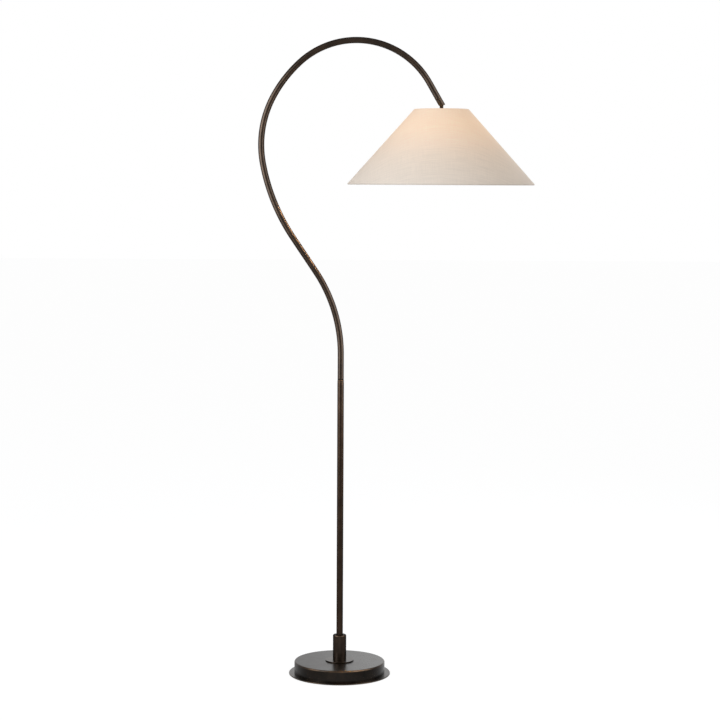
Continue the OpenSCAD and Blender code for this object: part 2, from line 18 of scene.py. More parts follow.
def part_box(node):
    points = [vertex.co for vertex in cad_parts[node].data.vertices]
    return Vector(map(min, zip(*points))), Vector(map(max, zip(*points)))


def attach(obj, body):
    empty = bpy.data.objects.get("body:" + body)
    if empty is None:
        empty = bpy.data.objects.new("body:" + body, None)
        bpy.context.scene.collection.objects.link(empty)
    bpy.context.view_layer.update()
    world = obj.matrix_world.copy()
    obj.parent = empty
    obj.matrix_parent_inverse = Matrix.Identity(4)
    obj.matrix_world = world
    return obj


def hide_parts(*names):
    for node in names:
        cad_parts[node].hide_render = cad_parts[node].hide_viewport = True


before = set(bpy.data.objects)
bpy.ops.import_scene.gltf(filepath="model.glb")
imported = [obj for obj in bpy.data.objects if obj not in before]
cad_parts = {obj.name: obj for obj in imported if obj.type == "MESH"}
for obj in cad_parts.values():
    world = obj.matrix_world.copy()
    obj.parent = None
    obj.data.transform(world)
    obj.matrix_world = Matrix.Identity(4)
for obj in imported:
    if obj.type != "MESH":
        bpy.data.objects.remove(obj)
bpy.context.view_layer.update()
MM = 0.001


def levels(node):
    """The lowest and highest z of a CAD node, in millimetres."""
    low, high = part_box(node)
    return low.z / MM, high.z / MM


# %% [markdown]
# ## The camera
# The photo was taken with a long lens from 5.4 m away, at the height of the arch, and looks down by
# 5 degrees. The ellipses of the base, the drum and the shade give these values. The photo is
# turned by a third of a degree, so the camera rolls by as much the other way.

# %% Camera
scene = bpy.context.scene


def add_object(name, data):
    """A new object in the scene."""
    made = bpy.data.objects.new(name, data)
    scene.collection.objects.link(made)
    return made


pitch = math.atan(177 / 2000)
roll = 0.005
camera = add_object("camera", bpy.data.cameras.new("camera"))
camera.data.lens = 100
camera.data.sensor_width = 36
camera.matrix_world = (Matrix.Translation((0.0527, -5.4544, 1.3565))
                       @ Matrix.Rotation(math.radians(90) - pitch, 4, "X") @ Matrix.Rotation(roll, 4, "Z"))
scene.camera = camera
scene.view_settings.view_transform = "Standard"
print(f"camera: {camera.data.lens:.0f} mm lens, looks down by {math.degrees(pitch):.1f} degrees")

# %% [markdown]
# ## Nodes from a script
# Materials, the world and Geometry Nodes are all node trees. One function adds a node, gives it
# its values, and links what feeds it. Colours are written as the sRGB hex values that an image
# editor shows, and another function turns them into the linear numbers that the sockets hold.

# %% Helpers for nodes and colours


def socket(sockets, key):
    """A socket by its index, or the first one in use that has that name."""
    if isinstance(key, int):
        return sockets[key]
    return next(s for s in sockets if s.name == key and s.enabled)


def fill(node, values):
    """Fills in a node's own properties and its sockets, by their names or the sockets' indexes.

    A value that is an output, or a node that has one, is linked. A property that changes which
    sockets are in use, such as data_type, comes first."""
    for key, value in values.items():
        if isinstance(value, bpy.types.Node):
            value = next(s for s in value.outputs if s.enabled)
        if isinstance(value, bpy.types.NodeSocket):
            node.id_data.links.new(value, socket(node.inputs, key))
        elif isinstance(key, str) and hasattr(node, key):
            setattr(node, key, value)
        else:
            socket(node.inputs, key).default_value = value


def add_node(tree, kind, values=None):
    """Adds a node of that kind, which is a shader node's kind where it doesn't say another."""
    node = tree.nodes.new(kind if "Node" in kind else "ShaderNode" + kind)
    fill(node, values or {})
    return node


def colour(code):
    """The linear colour of an sRGB hex code."""
    parts = [int(code[i:i + 2], 16) / 255 for i in (1, 3, 5)]
    return [c / 12.92 if c <= 0.04045 else ((c + 0.055) / 1.055) ** 2.4 for c in parts] + [1]


def new_finish(name):
    """A new material with its tree and its Principled shader."""
    finish = bpy.data.materials.new(name)
    finish.use_nodes = True
    print("finish:", name)
    return finish, finish.node_tree, finish.node_tree.nodes["Principled BSDF"]


# %% [markdown]
# ## The studio
# The photo is on plain white. The world is white where the camera or glass sees it, and where
# metal mirrors what is behind it. The light that it gives is a plain level below that, so the
# colours keep their depth. A reflection finds the room in front, behind the camera, dimmer, and the
# room at both sides dimmer still. It is as if black screens stood there: they keep the edges of dark
# metal dark against a white background.

# %% The world
world = bpy.data.worlds.new("studio")
world.use_nodes = True
scene.world = world
FILL_LEVEL = 0.44
FRONT_LEVEL, SIDE_LEVEL, BACK_LEVEL = 0.65, 0.5, 1.0


def ray_is(tree, *kinds):
    """1 for a ray of one of these kinds, such as Is Camera Ray, and 0 for the others."""
    path = add_node(tree, "LightPath")
    found = path.outputs[kinds[0]]
    for kind in kinds[1:]:
        found = add_node(tree, "Math", {"operation": "MAXIMUM", 0: found, 1: path.outputs[kind]}).outputs[0]
    return found


tree = world.node_tree
toward = add_node(tree, "SeparateXYZ", {0: add_node(tree, "TexCoord").outputs["Generated"]})
backwards = add_node(tree, "MapRange", {"From Min": -1.0, "Value": toward.outputs["Y"]})
room = add_node(tree, "ValToRGB", {0: backwards})
# A reflection that points straight to the front is at 0, to a side at 0.5, and to the back at 1
stops = room.color_ramp.elements
stops[0].position, stops[1].position = 0.25, 0.96
for stop, strength in zip((stops[0], stops.new(0.5), stops.new(0.78), stops[-1]),
                          (FRONT_LEVEL, SIDE_LEVEL, SIDE_LEVEL, BACK_LEVEL)):
    stop.color = (strength, strength, strength, 1)
lit = add_node(tree, "Mix", {"A": FILL_LEVEL, "Factor": ray_is(tree, "Is Glossy Ray"), "B": room})
level = add_node(tree, "Mix", {"Factor": ray_is(tree, "Is Camera Ray", "Is Transmission Ray"),
                               "A": lit, "B": 1.0})
fill(tree.nodes["Background"], {"Color": colour("#FFFFFF"), "Strength": level})
print("world:", len(tree.nodes), "nodes")

# %% [markdown]
# ## The floor
# The floor is pale, and glows a little for the camera and for reflections, so that it is white and
# still keeps a faint shadow under the base. What is glossy finds it dim beside the lamp, as it finds
# the room.

# %% Floor
floor_finish, tree, shader = new_finish("studio_floor")
floor_finish.cycles.emission_sampling = "NONE"
fill(shader, {"Base Color": colour("#F4F4F4"), "Roughness": 0.9, "Specular IOR Level": 0.1})
FLOOR_GLOW, GLOW_SHARE = 1.13, 0.8
# In gloss the floor dims from 6 to 16 cm beside the lamp, and is bright again 20 to 60 cm behind it
spot = add_node(tree, "SeparateXYZ", {0: add_node(tree, "TexCoord").outputs["Object"]})
aside = add_node(tree, "Math", {"operation": "ABSOLUTE", 0: spot.outputs["X"]})
beside = add_node(tree, "MapRange", {"From Min": 0.06, "From Max": 0.16, "To Min": 1.0, "To Max": SIDE_LEVEL,
                                     "Value": aside})
behind = add_node(tree, "MapRange", {"From Min": 0.2, "From Max": 0.6, "Value": spot.outputs["Y"]})
found = add_node(tree, "Math", {"operation": "MAXIMUM", 0: beside, 1: behind})
level = add_node(tree, "Mix", {"A": 1.0, "Factor": ray_is(tree, "Is Glossy Ray"), "B": found})
level = add_node(tree, "Math", {"operation": "MULTIPLY", 0: level, 1: FLOOR_GLOW})
glow = add_node(tree, "Emission", {"Color": colour("#FFFFFF"), "Strength": level})
seen = ray_is(tree, "Is Camera Ray", "Is Glossy Ray", "Is Transmission Ray")
share = add_node(tree, "Math", {"operation": "MULTIPLY", 0: seen, 1: GLOW_SHARE})
mixed = add_node(tree, "MixShader", {0: share, 1: shader, 2: glow})
fill(tree.nodes["Material Output"], {"Surface": mixed})

floor_mesh = bpy.data.meshes.new("floor")
reach = 30
floor_mesh.from_pydata([(-reach, -reach, 0), (reach, -reach, 0), (reach, reach, 0), (-reach, reach, 0)], [],
                       [(0, 1, 2, 3)])
floor_mesh.materials.append(floor_finish)
floor = add_object("floor", floor_mesh)
floor.location.z = -0.0002
print(f"floor: {2 * reach} m wide")

# %% [markdown]
# ## The lamps of the studio
# Two soft lamps light the cloth: a large one at the left in front, because the shade's left side is
# the lighter one, and a weak one behind at the right, which lifts the shade's right edge.
#
# A dark glossy tube is drawn by what it mirrors. The photo's tubes have a light streak on each side
# of a dark middle, and none on the lower stem, so two soft panels stood close to the lamp and well
# above the floor. Here the panels light only what is glossy, and so do a key and a side lamp for
# the metal. So the metal could be matched without changing the cloth.

# %% Lamps


def soft_lamp(name, place, target, width, height, power, tint, for_what="gloss"):
    """A flat lamp of that size in metres, which faces the target and isn't seen by the camera.

    A lamp for gloss is only mirrored, and one for cloth lights only what is matt."""
    data = bpy.data.lights.new(name, "AREA")
    data.shape, data.size, data.size_y = "RECTANGLE", width, height
    data.energy, data.color = power, colour(tint)[:3]
    lamp = add_object(name, data)
    lamp.visible_camera = False
    lamp.visible_diffuse, lamp.visible_glossy = for_what == "cloth", for_what == "gloss"
    lamp.location = place
    lamp.rotation_euler = (Vector(target) - Vector(place)).to_track_quat("-Z", "Y").to_euler()
    print(f"{name}: {power} W for {for_what}")


soft_lamp("key_lamp", (-1.85, -3.03, 1.8), (0.2, 0, 1.4), 1.6, 2.6, 90, "#E4EEFC", for_what="cloth")
soft_lamp("rim_lamp", (2.72, 1.14, 1.5), (0.2, 0, 1.4), 1.2, 2.4, 34, "#E8F2FF", for_what="cloth")
soft_lamp("key_for_metal", (-2.8, -2.1, 1.8), (0.1, 0, 1.3), 1.6, 2.6, 57, "#F1F9FF")
soft_lamp("side_for_metal", (2.9, -0.7, 1.5), (0.1, 0, 1.1), 1.2, 2.4, 5, "#FFFFFF")
soft_lamp("left_panel", (-1.5, -0.9, 1.6), (0, 0, 1.6), 2.0, 2.1, 44, "#FFFFFF")
soft_lamp("right_panel", (1.6, -0.7, 1.65), (0, 0, 1.65), 1.8, 2.2, 46, "#FFFFFF")

# %% [markdown]
# ## The metal's finish
# Darkened brass is brown-black with warmer clouds, because the acid bites unevenly. The wax on it
# is softly glossy. Handling rubs the edges back towards the brass. Turned pieces keep fine rings
# from the lathe, and tubes keep fine lines along their length from the drawing die.
#
# All patterns are read from an attribute named bar. It holds where a point would be if its piece
# stood straight on its own axis, so the lines also follow the bent tube. A second attribute is 1 on
# the rounded edges, where the finish paints wear. It is more on the ring's two edges, which get wear
# and also a painted highlight: the thin light line that each edge catches.

# %% Darkened brass
# The patterns' sizes in metres: acid clouds, tool or die lines, spun rings, and handled patches
CLOUD, LINE, SPUN_RING, HANDLED = 0.028, 0.0016, 0.0046, 0.06


def darkened_brass(name, dark, warm, wax, roughness, turned_lines=True, spun_rings=0.0, rim="#FFFFFF"):
    """Waxed dark brass. The fine lines run round the axis on a turned piece, or else along it.

    spun_rings is how strong the tool marks are that a spinning roller leaves near the middle. rim
    tints what the metal mirrors at a grazing angle, where a thick wax shows less of it."""
    finish, tree, shader = new_finish(name)
    bar = add_node(tree, "Attribute", {"attribute_name": "bar"}).outputs["Vector"]
    rub_and_highlight = add_node(tree, "Attribute", {"attribute_name": "rub_and_highlight"}).outputs["Fac"]
    clouds = add_node(tree, "TexNoise", {"Scale": 1 / CLOUD, "Detail": 5.0, "Roughness": 0.6, "Vector": bar})
    if turned_lines:
        apart = add_node(tree, "SeparateXYZ", {0: bar})
        flat = add_node(tree, "CombineXYZ", {0: apart.outputs[0], 1: apart.outputs[1]})
        radius = add_node(tree, "VectorMath", {"operation": "LENGTH", 0: flat}).outputs["Value"]
        along = add_node(tree, "CombineXYZ", {0: radius, 2: apart.outputs[2]})
    else:
        along = add_node(tree, "VectorMath", {"operation": "MULTIPLY", 0: bar, 1: (1, 1, 0.012)})
    lines = add_node(tree, "TexNoise", {"Scale": 1 / LINE, "Detail": 2.0, "Vector": along})
    patina = add_node(tree, "ValToRGB", {0: clouds})
    ramp = patina.color_ramp.elements
    ramp[0].position, ramp[0].color = 0.34, colour(dark)
    ramp[1].position, ramp[1].color = 0.72, colour(warm)
    depth = add_node(tree, "MapRange", {"From Min": 0.3, "From Max": 0.7, "To Min": 0.88, "To Max": 1.1,
                                        "Value": lines})
    lined = add_node(tree, "VectorMath", {"operation": "SCALE", 0: patina, "Scale": depth})
    handled = add_node(tree, "TexNoise", {"Scale": 1 / HANDLED, "Detail": 1.0, "Vector": bar})
    patchy = add_node(tree, "MapRange", {"From Min": 0.35, "From Max": 0.65, "To Min": 0.05, "To Max": 0.4,
                                         "Value": handled})
    if spun_rings:
        # The drum's front edge gets more of the rub than its back: wear, and a painted highlight along the
        # front.
        front = add_node(tree, "MapRange", {"From Min": -0.12, "From Max": -0.09, "To Min": 1.3,
                                            "To Max": 0.35, "Value": apart.outputs[1]})
        patchy = add_node(tree, "Math", {"operation": "MULTIPLY", 0: patchy, 1: front})
    rubbed_and_highlit = add_node(tree, "Math", {"operation": "MULTIPLY", "use_clamp": True, 0: rub_and_highlight, 1: patchy})
    bared_and_highlit = add_node(tree, "Mix", {"data_type": "RGBA", "B": colour("#846850"), "Factor": rubbed_and_highlit, "A": lined})
    gloss = add_node(tree, "MapRange", {"To Min": roughness - 0.06, "To Max": roughness + 0.06,
                                        "Value": clouds})
    height = lines
    if spun_rings:
        # The drum was waxed and rubbed a little better towards its right side
        gloss = add_node(tree, "Math", {"operation": "MULTIPLY_ADD", 0: apart.outputs[0], 1: -0.6, 2: gloss})
        turns = add_node(tree, "Math", {"operation": "MULTIPLY", 0: radius, 1: math.tau / SPUN_RING})
        wave = add_node(tree, "Math", {"operation": "SINE", 0: turns})
        fading = add_node(tree, "MapRange", {"From Min": 0.045, "From Max": 0.085, "To Min": spun_rings,
                                             "To Max": 0.0, "Value": radius})
        height = add_node(tree, "Math", {"operation": "MULTIPLY_ADD", 0: wave, 1: fading, 2: lines})
    bump = add_node(tree, "Bump", {"Strength": 0.05, "Distance": 0.0002, "Height": height})
    fill(shader, {"Metallic": 1.0, "Coat Weight": wax, "Coat Roughness": 0.22, "Specular Tint": colour(rim),
                  "Base Color": bared_and_highlit, "Roughness": gloss, "Normal": bump})
    return finish


DULL_RIM = "#6C625A"
turned_brass = darkened_brass("darkened_brass_turned", "#201812", "#36291E", 0.2, 0.32)
# The drum's copy is painted darker than the turned pieces: painted shade, for the dark that its side mirrors.
spun_brass = darkened_brass("darkened_brass_spun", "#15120F", "#261E17", 0.2, 0.32, spun_rings=6.0)
plate_brass = darkened_brass("darkened_brass_plate", "#1D1813", "#30271F", 0.2, 0.3)
drawn_brass = darkened_brass("darkened_brass_drawn_tube", "#2B2119", "#3B2E23", 0.3, 0.32, turned_lines=False,
                             rim=DULL_RIM)
stem_brass = darkened_brass("darkened_brass_stem_tube", "#2B1F16", "#3B2C20", 0.2, 0.32, turned_lines=False,
                            rim=DULL_RIM)
# The collar's copy is painted lighter and warmer than the turned pieces: a painted highlight, the soft warm
# light on its front.
collar_brass = darkened_brass("darkened_brass_collar", "#2A211A", "#3E3126", 0.2, 0.32, rim=DULL_RIM)

# %% [markdown]
# ## Turned pieces
# Most pieces of a lamp are turned on a lathe or spun over a form, so one function makes them: it
# turns a closed outline round an axis. A spin of a drawn profile or a Screw modifier would do it as
# well, but here each corner of the outline also gets its own rounding, and the rounded edges are
# marked in an attribute, from which the finish paints wear and, on the ring, a painted highlight.

# %% Rounded corners


def softened(outline, steps=5, guard=1.6):
    """Rounds the corners of a closed outline of (r, z), (r, z, rounding) or (r, z, rounding, rub) points.

    Returns (r, z, rub) points, all in millimetres. The rub paints wear, and on the ring also a painted
    highlight. A point at the guard distance from each rounding keeps the rub to the edge, and a
    rounding without its own rub has the full one, 1."""
    result = []
    count = len(outline)
    for i, point in enumerate(outline):
        here = Vector(point[:2])
        rounding = point[2] if len(point) > 2 else 0
        wear_and_highlight = point[3] if len(point) > 3 else 1.0
        if not rounding:
            result.append((here.x, here.y, point[3] if len(point) > 3 else 0.0))
            continue
        before, beyond = (Vector(outline[(i + k) % count][:2]) - here for k in (-1, 1))
        room_before, room_beyond = before.length, beyond.length
        before.normalize()
        beyond.normalize()
        half = before.angle(beyond) / 2
        run = rounding / math.tan(half)
        middle = here + (before + beyond).normalized() * rounding / math.sin(half)
        first, last = here + before * run - middle, here + beyond * run - middle
        if run + guard < room_before / 2:
            result.append((*(here + before * (run + guard)), 0.0))
        for k in range(steps + 1):
            spoke = first.lerp(last, k / steps).normalized() * rounding
            result.append((middle.x + spoke.x, middle.y + spoke.y, wear_and_highlight))
        if run + guard < room_beyond / 2:
            result.append((*(here + beyond * (run + guard)), 0.0))
    return result


# %% The lathe


def arc(x, z, r, start, end, steps, tall=None):
    """Points of a circle about (x, z), from one angle to another in degrees. tall makes it an oval."""
    return [(x + r * math.cos(a), z + (tall or r) * math.sin(a))
            for a in (math.radians(start + (end - start) * k / steps) for k in range(steps + 1))]


def smooth(mesh):
    """Shades a mesh smooth, except at edges of more than 35 degrees."""
    mesh.shade_smooth()
    mesh.set_sharp_from_angle(angle=math.radians(35))


def piece_from(name, bm, place=None):
    """A new object from a BMesh, which is moved by the matrix place."""
    mesh = bpy.data.meshes.new(name)
    bm.to_mesh(mesh)
    bm.free()
    if place:
        mesh.transform(place)
    smooth(mesh)
    return add_object(name, mesh)


def turned(name, outline, axis_x=0.0, sides=128, reshape=None, unroll=None, place=None, guard=1.6):
    """Turns a closed outline round the vertical axis at axis_x, and returns the new object.

    reshape(r, z, turn) gives a point another radius, as for a thread or flutes. unroll(r, turn)
    gives the UV map, in metres. place is a matrix that the finished mesh is moved by."""
    rings, bm = [], bmesh.new()
    rub_and_highlight = bm.verts.layers.float.new("rub_and_highlight")
    bar = bm.verts.layers.float_vector.new("bar")
    for r, z, wear_and_highlight in softened(outline, guard=guard):
        ring = []
        for side in range(1 if r < 1e-6 else sides):
            turn = math.tau * side / sides
            out = reshape(r, z, turn) if reshape else r
            vert = bm.verts.new((out * math.cos(turn) * MM, out * math.sin(turn) * MM, z * MM))
            vert[rub_and_highlight], vert[bar] = wear_and_highlight, vert.co
            ring.append(vert)
        rings.append(ring)
    uv = bm.loops.layers.uv.new("cloth") if unroll else None
    for i, ring in enumerate(rings):
        following = rings[(i + 1) % len(rings)]
        for side in range(sides if max(len(ring), len(following)) > 1 else 0):
            corners = [(ring, side), (ring, side + 1), (following, side + 1), (following, side)]
            picked = []
            for points, k in corners:
                vert = points[k % len(points)]
                if vert not in [v for v, _ in picked]:
                    picked.append((vert, k))
            face = bm.faces.new([v for v, _ in picked])
            if uv:
                for loop, (vert, k) in zip(face.loops, picked):
                    loop[uv].uv = unroll(vert.co.xy.length, math.tau * k / sides)
    bmesh.ops.recalc_face_normals(bm, faces=bm.faces)
    return piece_from(name, bm, place or Matrix.Translation((axis_x * MM, 0, 0)))


def dress(piece, finish, body, slot, *nodes):
    """Gives a piece its finish and its body, and says which CAD nodes it stands for."""
    piece.data.materials.clear()
    piece.data.materials.append(finish)
    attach(piece, body)
    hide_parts(*nodes)
    corners = [Vector(c) for c in piece.bound_box]
    lows, highs = zip(*(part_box(n) for n in nodes))
    off = max(max(abs(min(c[k] for c in corners) - min(v[k] for v in lows)),
                  abs(max(c[k] for c in corners) - max(v[k] for v in highs))) for k in range(3))
    print(f"{piece.name}: {len(piece.data.polygons)} faces, {off / MM:.2f} mm off the CAD node's box")


# %% [markdown]
# ## The base
# A felt pad, a thin flange with a rounded rim, a drum that was spun from sheet, and a low disc
# under the collar. The felt is pressed wool: short fibres that lie every way, with no gloss.
#
# Felt, nylon, enamel and the other plain materials are nearly even: they have small clouds of two
# near colours, and where a cloud is, the gloss changes a little too. One function makes them all.

# %% Plain finishes


def clouded(name, dark, pale, grain, roughness, detail=4.0, distortion=0.0, relief=None, metallic=0.0,
            sheen=0.0):
    """A finish with clouds of two colours, whose grain is in metres.

    roughness is one number, or two that it runs between with the clouds. relief is how strong the
    clouds' bumps are, and how deep in metres."""
    finish, tree, shader = new_finish(name)
    where = add_node(tree, "TexCoord").outputs["Object"]
    clouds = add_node(tree, "TexNoise", {"Scale": 1 / grain, "Detail": detail, "Distortion": distortion,
                                         "Vector": where})
    mixed = add_node(tree, "Mix", {"data_type": "RGBA", "A": colour(dark), "B": colour(pale),
                                   "Factor": clouds})
    fill(shader, {"Metallic": metallic, "Sheen Weight": sheen, "Base Color": mixed})
    if isinstance(roughness, tuple):
        low, high = roughness
        gloss = add_node(tree, "MapRange", {"To Min": low, "To Max": high, "Value": clouds})
        fill(shader, {"Roughness": gloss})
    else:
        fill(shader, {"Roughness": roughness})
    if relief:
        bump = add_node(tree, "Bump", {"Strength": relief[0], "Distance": relief[1], "Height": clouds})
        fill(shader, {"Normal": bump})
    return finish


# %% Felt, flange, drum and disc
felt = clouded("pressed_wool_felt", "#161514", "#2D2B29", 0.0009, 0.95, detail=6.0, distortion=1.5,
               relief=(0.6, 0.0004), sheen=0.3)
felt_r, flange_r, disc_r = 134, 140, 39
low, high = levels("base_felt")
dress(turned("felt_pad", [(0, low), (felt_r, low, 0.4), (felt_r, high, 0.5), (0, high)]), felt,
      "stand", "felt", "base_felt")

pocket_r = 22
low, high = levels("base_flange")
dress(turned("flange", [(pocket_r, low), (flange_r, low, 0.4, 0.5), (flange_r, high, 1.4, 0.5),
                        (pocket_r, high)], sides=192), plate_brass, "stand", "bronze", "base_flange")

pipe_hole = 5.25
low, high = levels("base_drum")
drum_r, drum_wall, drum_edge = 125, 1.5, 3.5
inside_r, inside_top = drum_r - drum_wall, high - drum_wall
dress(turned("drum", [(pipe_hole, high), (drum_r, high, drum_edge), (drum_r, low, 0.3), (inside_r, low),
                      (inside_r, inside_top, drum_edge - drum_wall), (pipe_hole, inside_top)], sides=192),
      spun_brass, "stand", "bronze", "base_drum")

low, high = levels("base_disc")
dress(turned("low_disc", [(pipe_hole, low), (disc_r, low, 0.2, 0), (disc_r, high, 0.35, 0),
                          (pipe_hole, high)]), turned_brass, "stand", "bronze", "base_disc")

# %% [markdown]
# The lead's inlet at the back of the drum is a bushing of black nylon that snaps into a hole. Moulded
# nylon is smooth with a faint grain, and its edges have a small rounding from the mould.

# %% Inlet bushing
moulded = clouded("moulded_black_nylon", "#141414", "#232221", 0.0007, (0.38, 0.55), detail=3.0,
                  relief=(0.15, 0.0002))

bushing_in, bushing_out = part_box("cord_bushing")[0].y / MM, drum_r + 2
lead_hole, snap_r, snap_end, waist_r, rim_r = 3.05, 6.4, bushing_in + 1.6, 5.7, 6.9
inlet_z = sum(levels("cord_bushing")) / 2
to_the_back = Matrix.Translation((0, 0, inlet_z * MM)) @ Matrix.Rotation(math.radians(-90), 4, "X")
dress(turned("inlet_bushing", [(lead_hole, bushing_in), (snap_r, bushing_in, 0.4), (snap_r, snap_end, 0.3),
                               (waist_r, snap_end), (waist_r, drum_r), (rim_r, drum_r, 0.2),
                               (rim_r, bushing_out, 0.8), (lead_hole, bushing_out, 0.6)],
             sides=64, place=to_the_back), moulded, "stand", "black_plastic", "cord_bushing")

# %% [markdown]
# ## The stem
# The collar is turned from bar, and the stem stands on its floor. The ring half way up has a fine
# groove at each side, where the lamp comes apart for packing.

# %% Collar, stem and ring
stem_r, tube_wall = 9, 1.5
collar_r, collar_bore = 18.5, 9.1
stem_low, stem_high = levels("stem_tube")
low, high = levels("stem_collar")
dress(turned("collar", [(pipe_hole, low), (collar_r, low, 0.4), (collar_r, high, 2.4, 0.4),
                        (collar_bore, high, 0.5, 0.4), (collar_bore, stem_low), (pipe_hole, stem_low)]),
      collar_brass, "stand", "bronze", "stem_collar")
dress(turned("stem", [(stem_r, stem_low, 0.3, 0.0), (stem_r, stem_high, 0.4, 0.0),
                      (stem_r - tube_wall, stem_high), (stem_r - tube_wall, stem_low)], sides=96),
      stem_brass, "stand", "bronze", "stem_tube")
low, high = levels("joint_ring")
groove = 0.6
# The ring's two edges have a rub of 3.5: wear, and a painted highlight, the thin light line that each edge
# catches.
dress(turned("ring", [(pipe_hole, low), (stem_r - groove, low), (stem_r, low + groove, 0.35, 3.5),
                      (stem_r, high - groove, 0.35, 3.5), (stem_r - groove, high), (pipe_hole, high)],
             sides=96, guard=0.3), turned_brass, "stand", "bronze", "joint_ring")

# %% [markdown]
# ## The arch
# The arch is one tube that a bender has put through five bends with straights between them, so
# its centre line is a chain of straights and arcs that run smoothly into each other. A script
# walks along that chain. A small Geometry Nodes tree then spaces the points evenly, sweeps a round
# section along them, and stores the bar attribute: the section's own two directions, and the length
# along the tube. Solidify gives the tube its wall. The same tree makes the leads inside the lamp.

# %% The tree that sweeps a round section along a path


def interface(tree, inputs):
    """Gives a Geometry Nodes tree its named inputs and its output."""
    tree.interface.new_socket("Geometry", in_out="INPUT", socket_type="NodeSocketGeometry")
    for name, (kind, value) in inputs.items():
        made = tree.interface.new_socket(name, in_out="INPUT", socket_type="NodeSocket" + kind)
        if value is not None:
            made.default_value = value
    tree.interface.new_socket("Geometry", in_out="OUTPUT", socket_type="NodeSocketGeometry")
    return add_node(tree, "NodeGroupInput").outputs


def finish_tree(tree, geometry, finish):
    """Ends a tree with real geometry and its material."""
    real = add_node(tree, "GeometryNodeRealizeInstances", {0: geometry})
    painted = add_node(tree, "GeometryNodeSetMaterial", {"Geometry": real, "Material": finish})
    add_node(tree, "NodeGroupOutput", {0: painted})
    print(f"{tree.name}: {len(tree.nodes)} nodes")


round_bar = bpy.data.node_groups.new("round_bar_along_a_path", "GeometryNodeTree")
given = interface(round_bar, {"Radius": ("Float", 0.01), "Spacing": ("Float", 0.005), "Sides": ("Int", 32),
                              "Material": ("Material", None)})
path = add_node(round_bar, "GeometryNodeMeshToCurve", {"Mesh": given["Geometry"]})
even = add_node(round_bar, "GeometryNodeResampleCurve",
                {"mode": "LENGTH", "Curve": path, "Length": given["Spacing"]})
section = add_node(round_bar, "GeometryNodeCurvePrimitiveCircle",
                   {"Resolution": given["Sides"], "Radius": given["Radius"]})
# What a curve's points know is captured, so that it can still be read after the sweep
place = add_node(round_bar, "GeometryNodeInputPosition").outputs[0]
run = add_node(round_bar, "GeometryNodeSplineParameter").outputs["Length"]
kept = []
for curve, kind, name, value in ((section, "VECTOR", "spot", place), (even, "FLOAT", "length", run)):
    kept.append(add_node(round_bar, "GeometryNodeCaptureAttribute", {"Geometry": curve}))
    kept[-1].capture_items.new(kind, name)
    round_bar.links.new(value, kept[-1].inputs[name])
outline, line = (node.outputs for node in kept)
swept = add_node(round_bar, "GeometryNodeCurveToMesh",
                 {"Curve": line["Geometry"], "Profile Curve": outline["Geometry"]})
across = add_node(round_bar, "SeparateXYZ", {0: outline["spot"]})
straight = add_node(round_bar, "CombineXYZ", {0: across.outputs[0], 1: across.outputs[1], 2: line["length"]})
stored = add_node(round_bar, "GeometryNodeStoreNamedAttribute",
                  {"data_type": "FLOAT_VECTOR", "Name": "bar", "Geometry": swept, "Value": straight})
rounded = add_node(round_bar, "GeometryNodeSetShadeSmooth", {"Geometry": stored})
finish_tree(round_bar, rounded, given["Material"])

# %% Pieces that follow a path


def nodes_modifier(piece, tree, **values):
    """Puts a tree on a piece and sets its inputs, which are written with _ for a space."""
    modifier = piece.modifiers.new(tree.name, "NODES")
    modifier.node_group = tree
    for item in tree.interface.items_tree:
        key = item.name.replace(" ", "_")
        if item.in_out == "INPUT" and key in values:
            modifier[item.identifier] = values[key]


def made_plain(piece):
    """Applies a piece's modifiers: the result becomes its mesh."""
    depsgraph = bpy.context.evaluated_depsgraph_get()
    mesh = bpy.data.meshes.new_from_object(piece.evaluated_get(depsgraph), depsgraph=depsgraph)
    piece.modifiers.clear()
    piece.data = mesh
    mesh.name = piece.name
    return piece


def path_piece(name, points):
    """An object whose mesh is only a chain of edges through points in millimetres."""
    mesh = bpy.data.meshes.new(name)
    mesh.from_pydata([Vector(p) * MM for p in points], [(i, i + 1) for i in range(len(points) - 1)], [])
    return add_object(name, mesh)


# %% The centre line of the arch


def chain(x, z, heading, steps, spacing=2.5):
    """Points along straights and tangent arcs in the plane of the lamp, in millimetres.

    A step is (radius, degrees) with a positive angle to the left, or (0, length) for a straight."""
    points = [(x, 0, z)]
    for radius, amount in steps:
        if radius == 0:
            x, z = x + amount * math.cos(heading), z + amount * math.sin(heading)
            points.append((x, 0, z))
            continue
        side = math.copysign(radius, amount)
        centre = (x - side * math.sin(heading), z + side * math.cos(heading))
        count = math.ceil(math.radians(abs(amount)) * radius / spacing)
        for _ in range(count):
            heading += math.radians(amount) / count
            x, z = centre[0] + side * math.sin(heading), centre[1] - side * math.cos(heading)
            points.append((x, 0, z))
    return points, heading


arch_r = 8.5
arch_low = levels("joint_ring")[1]
first_straight, last_straight = 70.5, 52
bends = [(406, 34), (0, 110.5), (534, -23.5), (275, -39), (352, -19), (227, -102.5)]
centre_line, heading = chain(0, arch_low, math.radians(90), [(0, first_straight), *bends, (0, last_straight)])
arch = path_piece("arch", centre_line)
nodes_modifier(arch, round_bar, Radius=arch_r * MM, Spacing=0.005, Sides=48, Material=drawn_brass)
wall = arch.modifiers.new("wall", "SOLIDIFY")
wall.thickness, wall.offset = tube_wall * MM, -1
dress(made_plain(arch), drawn_brass, "stand", "bronze", "arch_tube")
end = ", ".join(f"{v:.1f}" for v in centre_line[-1])
print(f"the tube's line has {len(centre_line)} points, ends at {end} and heads {math.degrees(heading):.1f}")

# %% [markdown]
# The lead runs inside from the inlet, round one bend under the stem, and up to the swivel. It is a
# round black sheath, and almost all of it is out of sight.

# %% Leads inside the lamp
sheath = clouded("black_lead_sheath", "#121212", "#1F1F1E", 0.004, (0.5, 0.65))
lead_r = 2.8
